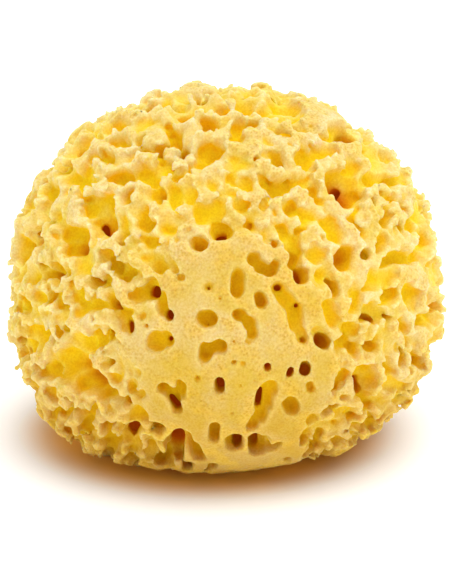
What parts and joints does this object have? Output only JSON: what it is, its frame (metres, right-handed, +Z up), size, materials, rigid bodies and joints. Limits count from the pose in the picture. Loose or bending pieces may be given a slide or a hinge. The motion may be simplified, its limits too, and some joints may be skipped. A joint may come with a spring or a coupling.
{
  "type": "sea sponge",
  "caption": "Natural bath sponge: a trimmed, dome-shaped honeycomb skeleton full of open canals, cut flat underneath.",
  "frame": {"origin": "middle of the cut underside, at the bottom centre of the bounding box", "axes": "+Z up from the cut underside; +X along the widest side; -Y towards the front, where the skin is smoothest"},
  "size_m": [0.1396, 0.1292, 0.1141],
  "materials": {
    "skeleton": "matte, translucent pale yellow horny skeleton, cream on the outer skin and golden to brown inside the canals"
  },
  "bodies": {
    "root": {"sponge": "skeleton"}
  },
  "joints": []
}
